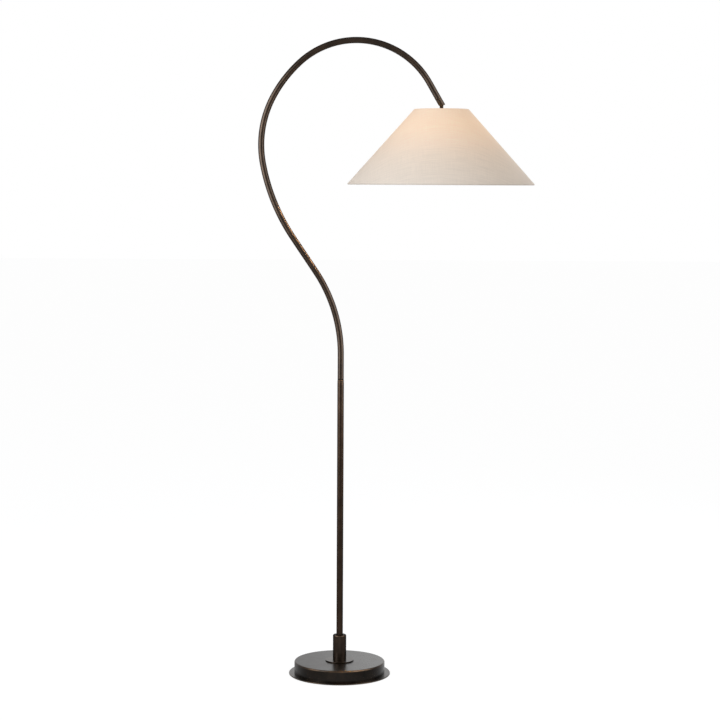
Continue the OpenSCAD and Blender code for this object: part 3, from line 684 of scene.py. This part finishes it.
# The ball's centre is past the tube's end, and the lead stops short of it
past_end, short_of_ball = 14.7, 11.3
lead_bend = levels("base_pipe")[0] - inlet_z
turn_up = [(0, y, z) for y, z in arc(lead_bend, inlet_z + lead_bend, lead_bend, 270, 180, 9)]
rise, _ = chain(0, inlet_z + lead_bend, math.radians(90),
                [(0, arch_low + first_straight - inlet_z - lead_bend), *bends,
                 (0, last_straight + past_end - short_of_ball)])
main_lead = path_piece("main_lead_sheath", [(0, bushing_out, inlet_z), *turn_up, *rise[1:]])
nodes_modifier(main_lead, round_bar, Radius=lead_r * MM, Spacing=0.006, Sides=16, Material=sheath)
dress(made_plain(main_lead), sheath, "stand", "insulation", "main_lead")

# %% [markdown]
# ## The swivel
# The tube ends in a barrel of its own diameter. A ball sits in it against a sprung seat, and a slot
# on the side of the stem lets the neck tilt. The barrel is turned, and the slot is milled with a
# round cutter that swings about the ball's centre. So here it is cut with Boolean modifiers: one
# cutter for the end of the swing, and a wedge for the way there.

# %% Barrel
pivot = Vector((sum(c.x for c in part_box("swivel_ball")) / 2, 0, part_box("neck_pipe")[1].z - 0.002))
axis_x = pivot.x / MM
ball_r, mouth_r, slot_end, fit = 6.5, 5.6, math.radians(60), 0.05
in_line = Matrix.Translation(pivot) @ Matrix.Rotation(math.radians(90) - heading, 4, "Y")
cup_low, cup_high = -14.64, 5.3


def cut(piece, *cutters):
    """Cuts others out of a piece, which are then removed."""
    for cutter in cutters:
        modifier = piece.modifiers.new("cut", "BOOLEAN")
        modifier.operation, modifier.object, modifier.solver = "DIFFERENCE", cutter, "EXACT"
    made_plain(piece)
    for cutter in cutters:
        bpy.data.objects.remove(cutter)
    smooth(piece.data)
    return piece


cup_bore = ball_r + fit
mouth_angle = math.degrees(math.acos(mouth_r / cup_bore))
barrel = turned("swivel_barrel", [(cup_bore + 0.1, cup_low), (arch_r, cup_low), (arch_r, cup_high, 0.4, 0.3),
                                  (mouth_r, cup_high, 0.3, 0.3), *arc(0, 0, cup_bore, mouth_angle, 0, 8),
                                  (cup_bore + 0.1, 0)], sides=96, place=in_line)
swing = in_line @ Matrix.Rotation(slot_end, 4, "Y")
slot_far, slot_half = 17, 5.55
slot_round = turned("slot_round", [(0, 0), (mouth_r, 0), (mouth_r, slot_far), (0, slot_far)], sides=64,
                    place=swing)
wedge_mesh = bpy.data.meshes.new("slot_wedge")
fan = [(0, 0), (0, slot_far), (slot_far, slot_far),
       (2 * slot_far * math.sin(slot_end), 2 * slot_far * math.cos(slot_end))]
sides = [(i, (i + 1) % 4, 4 + (i + 1) % 4, 4 + i) for i in range(4)]
wedge_mesh.from_pydata([Vector((x, y, z)) * MM for y in (-slot_half, slot_half) for x, z in fan], [],
                       [(3, 2, 1, 0), (4, 5, 6, 7), *sides])
wedge_mesh.transform(in_line)
dress(cut(barrel, slot_round, add_object("slot_wedge", wedge_mesh)), drawn_brass, "stand", "bronze",
      "swivel_cup")

# %% Ball
bore_r, pipe_r = 3.3, 5.15
lower_angle = -math.degrees(math.acos((pipe_r + fit) / ball_r))
upper_angle = math.degrees(math.acos(bore_r / ball_r))
dress(turned("swivel_ball_turned", [*arc(0, 0, ball_r, lower_angle, upper_angle, 28), (bore_r, 2),
                                    (pipe_r + fit, 2)], sides=64, place=Matrix.Translation(pivot)),
      turned_brass, "shade_head", "brass", "swivel_ball")

# %% [markdown]
# The neck is lamp pipe, whose thread has 27 turns to the inch. The photo shows a short piece of it
# above the shade, so the lathe cuts the thread here as well. The nut under it is a hexagon: the lathe
# turns its chamfers, and every point is then kept within the six flats.

# %% Neck pipe, nut and lead


def thread(radius, depth, pitch):
    """A reshape for the lathe that cuts a thread into every point near that radius."""
    def shaped(r, z, turn):
        wave = 0.5 + 0.5 * math.cos(math.tau * (z / pitch - turn / math.tau))
        return r - depth * (1 - wave) if abs(r - radius) < 0.01 else r
    return shaped


pipe_pitch = 25.4 / 27
low, high = levels("neck_pipe")
rows = math.ceil((high - low) / (pipe_pitch / 8))
wall_points = [(pipe_r, low + (high - low) * k / rows, 0, 0.8) for k in range(rows + 1)]
dress(turned("threaded_neck", [*wall_points, (bore_r, high), (bore_r, low)], axis_x, sides=32,
             reshape=thread(pipe_r, 0.45, pipe_pitch)), drawn_brass, "shade_head", "bronze", "neck_pipe")


def hexagon(flats):
    """A reshape for the lathe that keeps every point inside a hexagon of that width, with a corner at +X."""
    return lambda r, z, turn: min(r, flats / 2 / math.cos(turn % (math.pi / 3) - math.pi / 6))


low, high = levels("neck_nut")
nut_flats, chamfer = 16, 0.7
corner = nut_flats / math.sqrt(3)
dress(turned("neck_hex_nut", [(pipe_r + fit, low), (nut_flats / 2, low), (corner, low + chamfer),
                              (corner, high - chamfer), (nut_flats / 2, high), (pipe_r + fit, high)],
             axis_x, sides=96, reshape=hexagon(nut_flats)), turned_brass, "shade_head", "bronze", "neck_nut")

low, high = levels("head_lead")
head_lead = path_piece("head_lead_sheath", [(axis_x, 0, low), (axis_x, 0, high)])
nodes_modifier(head_lead, round_bar, Radius=lead_r * MM, Spacing=0.01, Sides=16, Material=sheath)
dress(made_plain(head_lead), sheath, "shade_head", "insulation", "head_lead")

# %% [markdown]
# ## The shade's frame
# The shade has two wire rings. The upper one carries three arms to a small hub, which the nut
# clamps. The wire is steel with white enamel, which is smooth with a soft gloss and slightly uneven.
# The arms are all alike, so Geometry Nodes place them round the hub.

# %% Where the rings are
enamel = clouded("white_enamelled_wire", "#D8D3C7", "#ECE8DF", 0.006, (0.25, 0.45), detail=3.0,
                 relief=(0.2, 0.0003))
wire_r, cloth_thick = 1.5, 0.6
shade_low, shade_top = levels("shade_fabric")
shade_top_r, shade_low_r = 75, 254
fold_r = wire_r + cloth_thick + fit
top_ring = Vector((shade_top_r - fold_r, shade_top - fold_r))
bottom_ring = Vector((shade_low_r - fold_r, shade_low + fold_r))
print(f"rings: {top_ring.x:.2f} and {bottom_ring.x:.2f} mm in radius")

# %% The tree that places the arms
arms = bpy.data.node_groups.new("arms_round_a_hub", "GeometryNodeTree")
given = interface(arms, {"Arm count": ("Int", 3), "Inner end": ("Vector", None),
                         "Outer end": ("Vector", None), "Axis": ("Vector", None),
                         "Radius": ("Float", 0.0015), "Material": ("Material", None)})
line = add_node(arms, "GeometryNodeCurvePrimitiveLine",
                {"Start": given["Inner end"], "End": given["Outer end"]})
section = add_node(arms, "GeometryNodeCurvePrimitiveCircle", {"Resolution": 16, "Radius": given["Radius"]})
wire = add_node(arms, "GeometryNodeCurveToMesh", {"Fill Caps": True, "Curve": line, "Profile Curve": section})
hub_points = add_node(arms, "GeometryNodePoints", {"Count": given["Arm count"], "Position": given["Axis"]})
step = add_node(arms, "Math", {"operation": "DIVIDE", 0: math.tau, 1: given["Arm count"]})
angle = add_node(arms, "Math", {"operation": "MULTIPLY_ADD", 0: add_node(arms, "GeometryNodeInputIndex"),
                                1: step, 2: math.pi / 2})
upright = add_node(arms, "CombineXYZ", {2: angle})
placed = add_node(arms, "GeometryNodeInstanceOnPoints",
                  {"Points": hub_points, "Instance": wire, "Rotation": upright})
finish_tree(arms, placed, given["Material"])

# %% Fitter and bottom ring
hub_low = levels("shade_fitter")[0]
hub_wide, hub_thick, arm_start = 13.5, 2.5, 11.5
hub_high, hub_middle = hub_low + hub_thick, hub_low + hub_thick / 2
slope_up = Vector((top_ring.x, top_ring.y - hub_middle)).normalized()
arm_piece = path_piece("fitter_arms", [(0, 0, 0), (1, 0, 0)])
nodes_modifier(arm_piece, arms, Arm_count=3, Axis=(pivot.x, 0, 0), Radius=wire_r * MM, Material=enamel,
               Inner_end=(arm_start * slope_up.x * MM, 0, (hub_middle + arm_start * slope_up.y) * MM),
               Outer_end=(top_ring.x * MM, 0, top_ring.y * MM))
made_plain(arm_piece)
hub = turned("fitter_hub", [(pipe_hole, hub_low), (hub_wide, hub_low, 0.5), (hub_wide, hub_high, 0.5),
                            (pipe_hole, hub_high)], axis_x, sides=64)
ring = turned("fitter_ring", arc(*top_ring, wire_r, 0, 337.5, 15), axis_x, sides=160)
bm = bmesh.new()
for part in (arm_piece, hub, ring):
    bm.from_mesh(part.data)
    bpy.data.objects.remove(part)
dress(piece_from("fitter", bm), enamel, "shade_head", "wire", "shade_fitter")
dress(turned("bottom_wire_ring", arc(*bottom_ring, wire_r, 0, 337.5, 15), axis_x, sides=256), enamel,
      "shade_head", "wire", "shade_bottom_ring")

# %% [markdown]
# ## The shade
# A hard-backed shade is one flat fan of stiff sheet with linen glued on it, rolled to a cone. The
# linen is folded in round both rings. Its threads stay straight in the flat fan, so the UV map here is
# that fan, laid flat in metres. The seam is at the back.
#
# Linen yarn is uneven: a thicker stretch, a slub, runs on for some centimetres. At the photo's
# size one pixel is 2.7 mm, so the slubs show and the single threads don't. The slubs are drawn
# about 2.5 mm thick, which is coarser than the real 1 mm, so that they show as they do in the photo.

# %% Linen's yarns
linen, tree, shader = new_finish("slubbed_linen_lit")
linen.cycles.emission_sampling = "NONE"
flat = add_node(tree, "UVMap", {"uv_map": "cloth"}).outputs["UV"]
SLUB, THREAD = 0.0026, 0.0012


def yarn_noise(width, length, along_x, seed):
    """Streaks of uneven yarn, with their width and length in metres."""
    across, on = 1 / width, 1 / length
    scaled = add_node(tree, "Mapping", {"Scale": (on, across, 1) if along_x else (across, on, 1),
                                        "Location": (seed, seed, 0), "Vector": flat})
    return add_node(tree, "TexNoise", {"Scale": 1.0, "Detail": 3.0, "Roughness": 0.55, "Vector": scaled})


weft = yarn_noise(SLUB, 0.07, True, 3.0)
warp = yarn_noise(SLUB, 0.05, False, 11.0)
slubs = add_node(tree, "Math", {"operation": "MULTIPLY", 0: weft, 1: 0.65})
slubs = add_node(tree, "Math", {"operation": "MULTIPLY_ADD", 0: warp, 1: 0.35, 2: slubs})
# A wave texture of scale s repeats every 0.314 / s metres
threads = [add_node(tree, "TexWave", {"bands_direction": direction, "Scale": 0.314 / THREAD, "Vector": flat,
                                      "Distortion": 1.5, "Detail": 1.0, "Detail Scale": 0.3})
           for direction in ("X", "Y")]
weave = add_node(tree, "Math", {"operation": "ADD", 0: threads[0], 1: threads[1]})
relief = add_node(tree, "Math", {"operation": "MULTIPLY_ADD", 0: weave, 1: 0.25, 2: slubs})

# %% [markdown]
# The lamp is lit, and the cloth glows with the light that comes through it. That light falls off with
# the cube of the distance from the bulb along a straight cone, so it is worked out from there. The
# cloth's own colour is painted warmer near the bulb, as painted light. Where the cloth is two layers
# thick, in the fold round the bottom wire and where the fan's two ends lap down the back, it lets less
# light through, and its colour is painted darker as well, as painted shade.

# %% Linen's glow
SEAM = 9
globe_r = 30
bulb_z = levels("bulb_glass")[0] + globe_r
down_slope = (bottom_ring - top_ring).normalized()
outward = Vector((-down_slope.y, down_slope.x))
nearest = abs(outward.dot(top_ring - Vector((0, bulb_z)))) * MM
where = add_node(tree, "TexCoord").outputs["Object"]
spread = add_node(tree, "VectorMath", {"operation": "DISTANCE", 0: where, 1: (pivot.x, 0, bulb_z * MM)})
near = add_node(tree, "Math", {"operation": "DIVIDE", "use_clamp": True, 0: nearest, 1: spread.outputs[1]})
glow = add_node(tree, "Math", {"operation": "POWER", 0: near, 1: 3.0})
# The cloth's colour is painted warmer and a little darker where the glow is strongest, as painted light.
pale = add_node(tree, "Mix", {"data_type": "RGBA", "A": colour("#EADDCD"), "B": colour("#E6D7C4"),
                              "Factor": glow})
tone = add_node(tree, "MapRange", {"From Min": 0.3, "From Max": 0.7, "To Min": 0.92, "To Max": 1.06,
                                   "Value": slubs})
fold_low = (bottom_ring.y - fold_r) * MM
place = add_node(tree, "SeparateXYZ", {0: where}).outputs
fold_painted_shade = add_node(tree, "MapRange", {"From Min": fold_low + 0.0012, "From Max": fold_low + 0.0038,
                                     "To Min": 0.68, "Value": place["Z"]})
aside = add_node(tree, "Math", {"operation": "SUBTRACT", 0: place["X"], 1: pivot.x})
aside = add_node(tree, "Math", {"operation": "ABSOLUTE", 0: aside})
front = add_node(tree, "Math", {"operation": "MINIMUM", 0: place["Y"], 1: 0.0})
aside = add_node(tree, "Math", {"operation": "SUBTRACT", 0: aside, 1: front})
seam_painted_shade = add_node(tree, "MapRange", {"From Min": SEAM / 2 * MM, "From Max": (SEAM / 2 + 0.8) * MM,
                                     "To Min": 0.9, "Value": aside})
# The fold and the seam darken the cloth's colour, as painted shade, and its glow, where less light comes
# through.
for painted_shade in (fold_painted_shade, seam_painted_shade):
    tone = add_node(tree, "Math", {"operation": "MULTIPLY", 0: tone, 1: painted_shade})
cloth = add_node(tree, "VectorMath", {"operation": "SCALE", 0: pale, "Scale": tone})
light = add_node(tree, "Math", {"operation": "MULTIPLY", 0: glow, 1: tone})
strength = add_node(tree, "Math", {"operation": "MULTIPLY", 0: light, 1: 0.34})
bump = add_node(tree, "Bump", {"Strength": 0.35, "Distance": 0.0005, "Height": relief})
fill(shader, {"Emission Color": colour("#FFB866"), "Roughness": 0.9, "Specular IOR Level": 0.2,
              "Sheen Weight": 0.15, "Base Color": cloth, "Emission Strength": strength, "Normal": bump})
print(f"linen: {len(tree.nodes)} nodes, and the cloth's line passes the bulb at {nearest / MM:.0f} mm")

# %% Cloth, folded in round both rings
HEM = 10
fan_share = down_slope.x


def cloth_face(r, hem):
    """One face of the cloth, from the top hem over both rings to the bottom hem."""
    out = math.degrees(math.atan2(outward.y, outward.x))
    hem_run, hem_lift = (wire_r + HEM) * down_slope, hem * outward
    return [tuple(top_ring + hem_run + hem_lift), *arc(*top_ring, r, out + 180, out, 12),
            *arc(*bottom_ring, r, out, out - 180, 12), tuple(bottom_ring - hem_run + hem_lift)]


def laid_flat(r, turn):
    """Where a point of the cone lies in the flat fan. The lathe's turn starts at the back."""
    reach, spread_angle = r / fan_share, (turn - math.pi) * fan_share
    return reach * math.sin(spread_angle), reach * math.cos(spread_angle)


from_the_back = Matrix.Translation((pivot.x, 0, 0)) @ Matrix.Rotation(math.radians(90), 4, "Z")
hem_out = wire_r - 0.9
dress(turned("linen_cover", [*cloth_face(fold_r, hem_out - cloth_thick),
                             *reversed(cloth_face(wire_r + fit, hem_out))],
             sides=256, unroll=laid_flat, place=from_the_back), linen, "shade_head", "linen", "shade_fabric")

# %% [markdown]
# The fan's two ends overlap by 9 mm down the back, and the upper end is glued down. The overlap is
# a straight strip on the cone. It is bent across as the cone is, so each row of its points is a
# short arc.

# %% The seam down the back
bm = bmesh.new()
uv = bm.loops.layers.uv.new("cloth")
rows = []
for k in range(41):
    here = top_ring.lerp(bottom_ring, k / 40) + fold_r * outward
    row = []
    for side, lift in [(-0.5, -0.1), *[(j / 6 - 0.5, 0.45) for j in range(7)], (0.5, -0.1)]:
        turn = side * SEAM / here.x
        spot = here + lift * outward
        row.append((bm.verts.new((axis_x * MM - spot.x * math.sin(turn) * MM, spot.x * math.cos(turn) * MM,
                                  spot.y * MM)), laid_flat(here.x * MM, turn)))
    rows.append(row)
for row, following in zip(rows, rows[1:]):
    for j in range(len(row)):
        picked = [row[j], row[j - 1], following[j - 1], following[j]]
        face = bm.faces.new([vert for vert, _ in picked])
        for loop, (_, flat_place) in zip(face.loops, picked):
            loop[uv].uv = flat_place
for row in (rows[0], rows[-1]):
    bm.faces.new([vert for vert, _ in row])
bmesh.ops.recalc_face_normals(bm, faces=bm.faces)
seam = piece_from("back_seam", bm)
seam.data.materials.append(linen)
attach(seam, "shade_head")
print(f"seam: {len(seam.data.polygons)} faces, {(bottom_ring - top_ring).length:.0f} mm long")

# %% [markdown]
# The stiff sheet behind the linen is white styrene, which is smooth and even. Inside a lit shade it
# is the brightest thing after the bulb, with light that the bulb itself gives in this scene.

# %% Stiff sheet
styrene = clouded("white_styrene_sheet", "#E6E1D6", "#F1EDE4", 0.05, (0.5, 0.62), detail=3.0)
edge = (wire_r + 1) * down_slope
outer, inner = ((wire_r - inset) * outward for inset in (0.05, 0.85))
dress(turned("stiff_sheet", [tuple(top_ring + edge + outer), tuple(bottom_ring - edge + outer),
                             tuple(bottom_ring - edge + inner), tuple(top_ring + edge + inner)],
             axis_x, sides=256), styrene, "shade_head", "liner", "shade_liner")

# %% [markdown]
# ## The lampholder
# Inside hangs a lampholder with a pressed brass cap and shell, a turning key with a fluted knob,
# and a bulb with a round globe. Plain brass is yellow with a warm bloom where it was touched.

# %% Brass, cap and shell
brass = clouded("pressed_brass", "#B08D4A", "#D9BC7A", 0.009, (0.22, 0.38), metallic=1.0)

cap_low, cap_high = levels("socket_cap")
hub_r, cap_r, sheet = pipe_r + 2.4, 17, 0.6
hub_h = (cap_high - cap_low) / 3
flare, flare_w = cap_high - cap_low - hub_h - 8, cap_r - hub_r


def flared(inset):
    """The cap's round shoulder, from its hub out to its wall."""
    return arc(hub_r, cap_high - hub_h - flare, flare_w - inset, 90, 0, 14, tall=flare - inset)


dress(turned("holder_cap", [(pipe_r + fit, cap_high), (hub_r, cap_high, 0.4), *flared(0),
                            (cap_r, cap_low + 2.5), (cap_r, cap_low, 0.2), (cap_r - sheet, cap_low),
                            *reversed(flared(sheet)), (pipe_r + fit, cap_high - hub_h - sheet)],
             axis_x, sides=96), brass, "shade_head", "brass", "socket_cap")

shell_low, shell_high = levels("socket_shell")
shell_r, bead_out, bead_half = 16.3, 0.4, 1.1
# Two rolled beads stiffen the shell near its mouth
beads = [point for middle in (5, 11)
         for point in arc(shell_r, shell_low + middle, bead_out, -90, 90, 6, tall=bead_half)]
shell = turned("holder_shell", [(shell_r, shell_low), *beads, (shell_r, shell_high),
                                (shell_r - sheet, shell_high), (shell_r - sheet, shell_low)],
               axis_x, sides=96)
key_z = sum(levels("switch_shaft")) / 2
key_out = Matrix.Translation((pivot.x, 0, key_z * MM)) @ Matrix.Rotation(math.radians(90), 4, "Y")
key_cut = turned("key_cut", [(0, 5), (2.5, 5), (2.5, 20), (0, 20)], sides=32, place=key_out)
dress(cut(shell, key_cut), brass, "shade_head", "brass", "socket_shell")

# %% Key
shaft_in, shaft_out = ((c.x - pivot.x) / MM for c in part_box("switch_shaft"))
dress(turned("key_shaft", [(0, shaft_in), (2, shaft_in, 0.2), (2, shaft_out, 0.3), (0, shaft_out)], sides=32,
             place=key_out), brass, "switch_key", "brass", "switch_shaft")


def fluted(r, z, turn):
    """Twelve scallops round the knob's side."""
    return r - 0.6 * (0.5 + 0.5 * math.cos(12 * turn)) ** 4 if r > 6 else r


knob_r, knob_bore = 7.5, 2.05
knob_low, knob_high = ((c.x - pivot.x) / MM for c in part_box("switch_knob"))
dress(turned("key_knob", [(0, knob_low + 6), (knob_bore, knob_low + 6), (knob_bore, knob_low),
                          (knob_r, knob_low, 0.5), (knob_r, knob_high, 1.2), (0, knob_high)],
             sides=144, reshape=fluted, place=key_out), moulded, "switch_key", "black_plastic", "switch_knob")

# %% [markdown]
# ## The bulb
# The globe is white-coated glass that is lit from inside, so it is even all over. It lights the
# inside of the shade. The light source in it is far brighter than the coated glass, and tubes near
# the lamp mirror it: that is the golden streak on the flank of the arch in the photo. So a small
# round lamp in the globe lights only what is glossy, and the globe casts no shadow, so that this
# light gets out.

# %% Globe
coated = clouded("white_coated_glass_lit", "#F2EDE2", "#FBF7EE", 0.004, 0.35, detail=2.0)
tree = coated.node_tree
shine = add_node(tree, "MapRange", {"To Min": 8.0, "To Max": 9.5, "Value": tree.nodes["Noise Texture"]})
fill(tree.nodes["Principled BSDF"], {"Emission Color": colour("#FFD9A8"), "Emission Strength": shine})

sweep_r, glass, glass_neck_r = 45, 0.8, 12.4
bulb_neck_z = levels("bulb_cap")[0]
sweep_rise = math.sqrt((globe_r + sweep_r) ** 2 - (glass_neck_r + sweep_r) ** 2)
sweep_angle = math.degrees(math.atan2(sweep_rise, glass_neck_r + sweep_r))


def glass_line(depth):
    """The globe's outline at a depth in the glass, from the bottom up to the neck."""
    ball = arc(0, bulb_z, globe_r - depth, -90, sweep_angle, 24)
    sweep = arc(glass_neck_r + sweep_r, bulb_z + sweep_rise, sweep_r + depth, 180 + sweep_angle, 180, 10)
    return [(0, ball[0][1]), *ball[1:], *sweep[1:], (glass_neck_r - depth, bulb_neck_z + 10)]


globe = turned("globe", [*glass_line(0), *reversed(glass_line(glass))], axis_x, sides=64)
dress(globe, coated, "shade_head", "bulb_white", "bulb_glass")
globe.visible_shadow = False
coil_light = bpy.data.lights.new("coil_light", "POINT")
coil_light.shadow_soft_size, coil_light.energy, coil_light.color = 0.028, 16.0, colour("#FFD9A8")[:3]
coil = add_object("coil", coil_light)
coil.location = (pivot.x, 0, bulb_z * MM)
coil.visible_camera = coil.visible_diffuse = False

# %% [markdown]
# The screw cap is aluminium that was rolled to a round thread between two rollers, and stays bright.

# %% Screw cap
aluminium = clouded("rolled_aluminium", "#BDBDBB", "#D6D6D4", 0.003, (0.25, 0.4), detail=3.0, metallic=1.0)
cap_pitch, cap_depth = 3.6, 0.7


def rolled(r, z, turn):
    """The screw cap's round thread, which fades in above the glass's neck."""
    share = min(1, max(0, (z - bulb_neck_z - 10) / 2))
    return r - share * cap_depth / 2 * (1 - math.cos(math.tau * (z / cap_pitch - turn / math.tau)))


low, high = levels("bulb_cap")
steps = 60
dress(turned("screw_cap", [*[(13, low + (high - low) * k / steps) for k in range(steps + 1)],
                           *[(12.5, high - (high - low) * k / steps) for k in range(steps + 1)]],
             axis_x, sides=48, reshape=rolled), aluminium, "shade_head", "bulb_metal", "bulb_cap")

# %% [markdown]
# ## Pieces inside
# The rest is out of sight in the base, the tubes and the lampholder. Those CAD solids have the right
# shape already, so they stay as they are and get their real finishes: sand-cast iron with its coarse
# grain, dull bright zinc on the steel pieces, pressed card, black glass and clear glass.

# %% Finishes of the inner pieces
faint = (0.2, 0.0003)
inner_finishes = {
    clouded("sand_cast_iron", "#2B2B2C", "#4A4A4B", 0.0015, (0.62, 0.78), relief=(0.8, 0.0003),
            metallic=0.6): ["base_weight"],
    clouded("zinc_plated_steel", "#8F918F", "#B9BAB6", 0.002, (0.27, 0.43), relief=faint, metallic=1.0): [
        "base_pipe", "base_washer", "base_nut", "base_screws", "stem_foot_insert", "stem_top_insert",
        "joint_pipe", "arch_insert", "swivel_springs"],
    brass: ["swivel_plug", "swivel_seat", "screw_shell", "centre_contact"],
    clouded("pressed_card", "#8F7A5A", "#A8926E", 0.001, (0.77, 0.93), relief=faint): ["socket_card"],
    moulded: ["switch_block"],
    clouded("black_glass_bead", "#0E0E10", "#17171A", 0.004, (0.12, 0.28), relief=faint): ["bulb_insulator"],
    clouded("pressed_clear_glass_stem", "#D5D9D6", "#E6EAE7", 0.003, (0.07, 0.23), relief=faint): [
        "bulb_mount"],
}
for finish, names in inner_finishes.items():
    for name in names:
        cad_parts[name].data.materials.clear()
        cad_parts[name].data.materials.append(finish)
print("inner pieces:", sum(len(names) for names in inner_finishes.values()))
